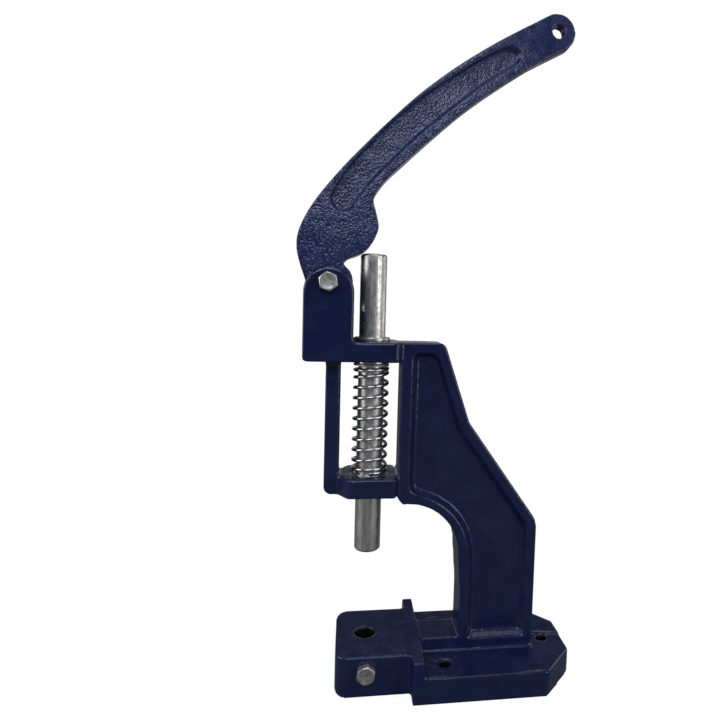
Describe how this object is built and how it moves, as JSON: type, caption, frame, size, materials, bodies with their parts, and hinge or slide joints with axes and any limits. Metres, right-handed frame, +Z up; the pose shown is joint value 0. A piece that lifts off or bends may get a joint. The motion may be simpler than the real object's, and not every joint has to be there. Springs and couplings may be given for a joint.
{
  "type": "snap setting press",
  "caption": "Hand lever bench press for snaps and rivets: C-shaped cast frame, cam lever, spring-raised ram and a die socket with a clamp screw.",
  "frame": {"origin": "on the underside of the base, below the common axis of the ram and the die socket", "axes": "+Z up along the ram; +X from the die anvil towards the column; +Y to the side away from the pivot bolt's head"},
  "size_m": [0.1385, 0.0614, 0.3275],
  "materials": {
    "frame_enamel": "gloss navy enamel over a cast surface",
    "handle_enamel": "gloss navy enamel with a coarser cast grain",
    "zinc_plate": "zinc plated, satin",
    "bright_steel": "bright drawn bar with lengthwise streaks",
    "bush_steel": "turned, satin",
    "spring_steel": "polished wire",
    "nylon": "natural nylon"
  },
  "bodies": {
    "frame": {"frame_casting": "frame_enamel", "upper_guide_bush": "bush_steel", "lower_guide_bush": "bush_steel", "pivot_bolt": "zinc_plate", "pivot_nut": "zinc_plate", "pivot_nut_insert": "nylon", "return_spring": "spring_steel"},
    "handle": {"handle_lever": "handle_enamel"},
    "ram_body": {"ram": "bright_steel", "spring_washer": "zinc_plate", "retaining_clip": "spring_steel"},
    "clamp_screw": {"die_clamp_screw": "zinc_plate"}
  },
  "joints": [
    {"name": "handle_pivot", "type": "hinge", "parent": "frame", "child": "handle", "pos_m": [-0.0209, 0, 0.1933], "axis": [0, 1, 0], "range_deg": [0, 60]},
    {"name": "ram_slide", "type": "slide", "parent": "frame", "child": "ram_body", "axis": [0, 0, -1], "range_m": [0, 0.0218], "stiffness_N_per_m": 2200, "springref_m": -0.006, "deforming": ["return_spring"]},
    {"name": "clamp_screw_turn", "type": "hinge", "parent": "frame", "child": "clamp_screw", "pos_m": [0, -0.0221, 0.0125], "axis": [0, 1, 0], "continuous": true}
  ],
  "couplings": [
    {"joint": "ram_slide", "follows": "handle_pivot", "m_per_rad": 0.0208}
  ]
}
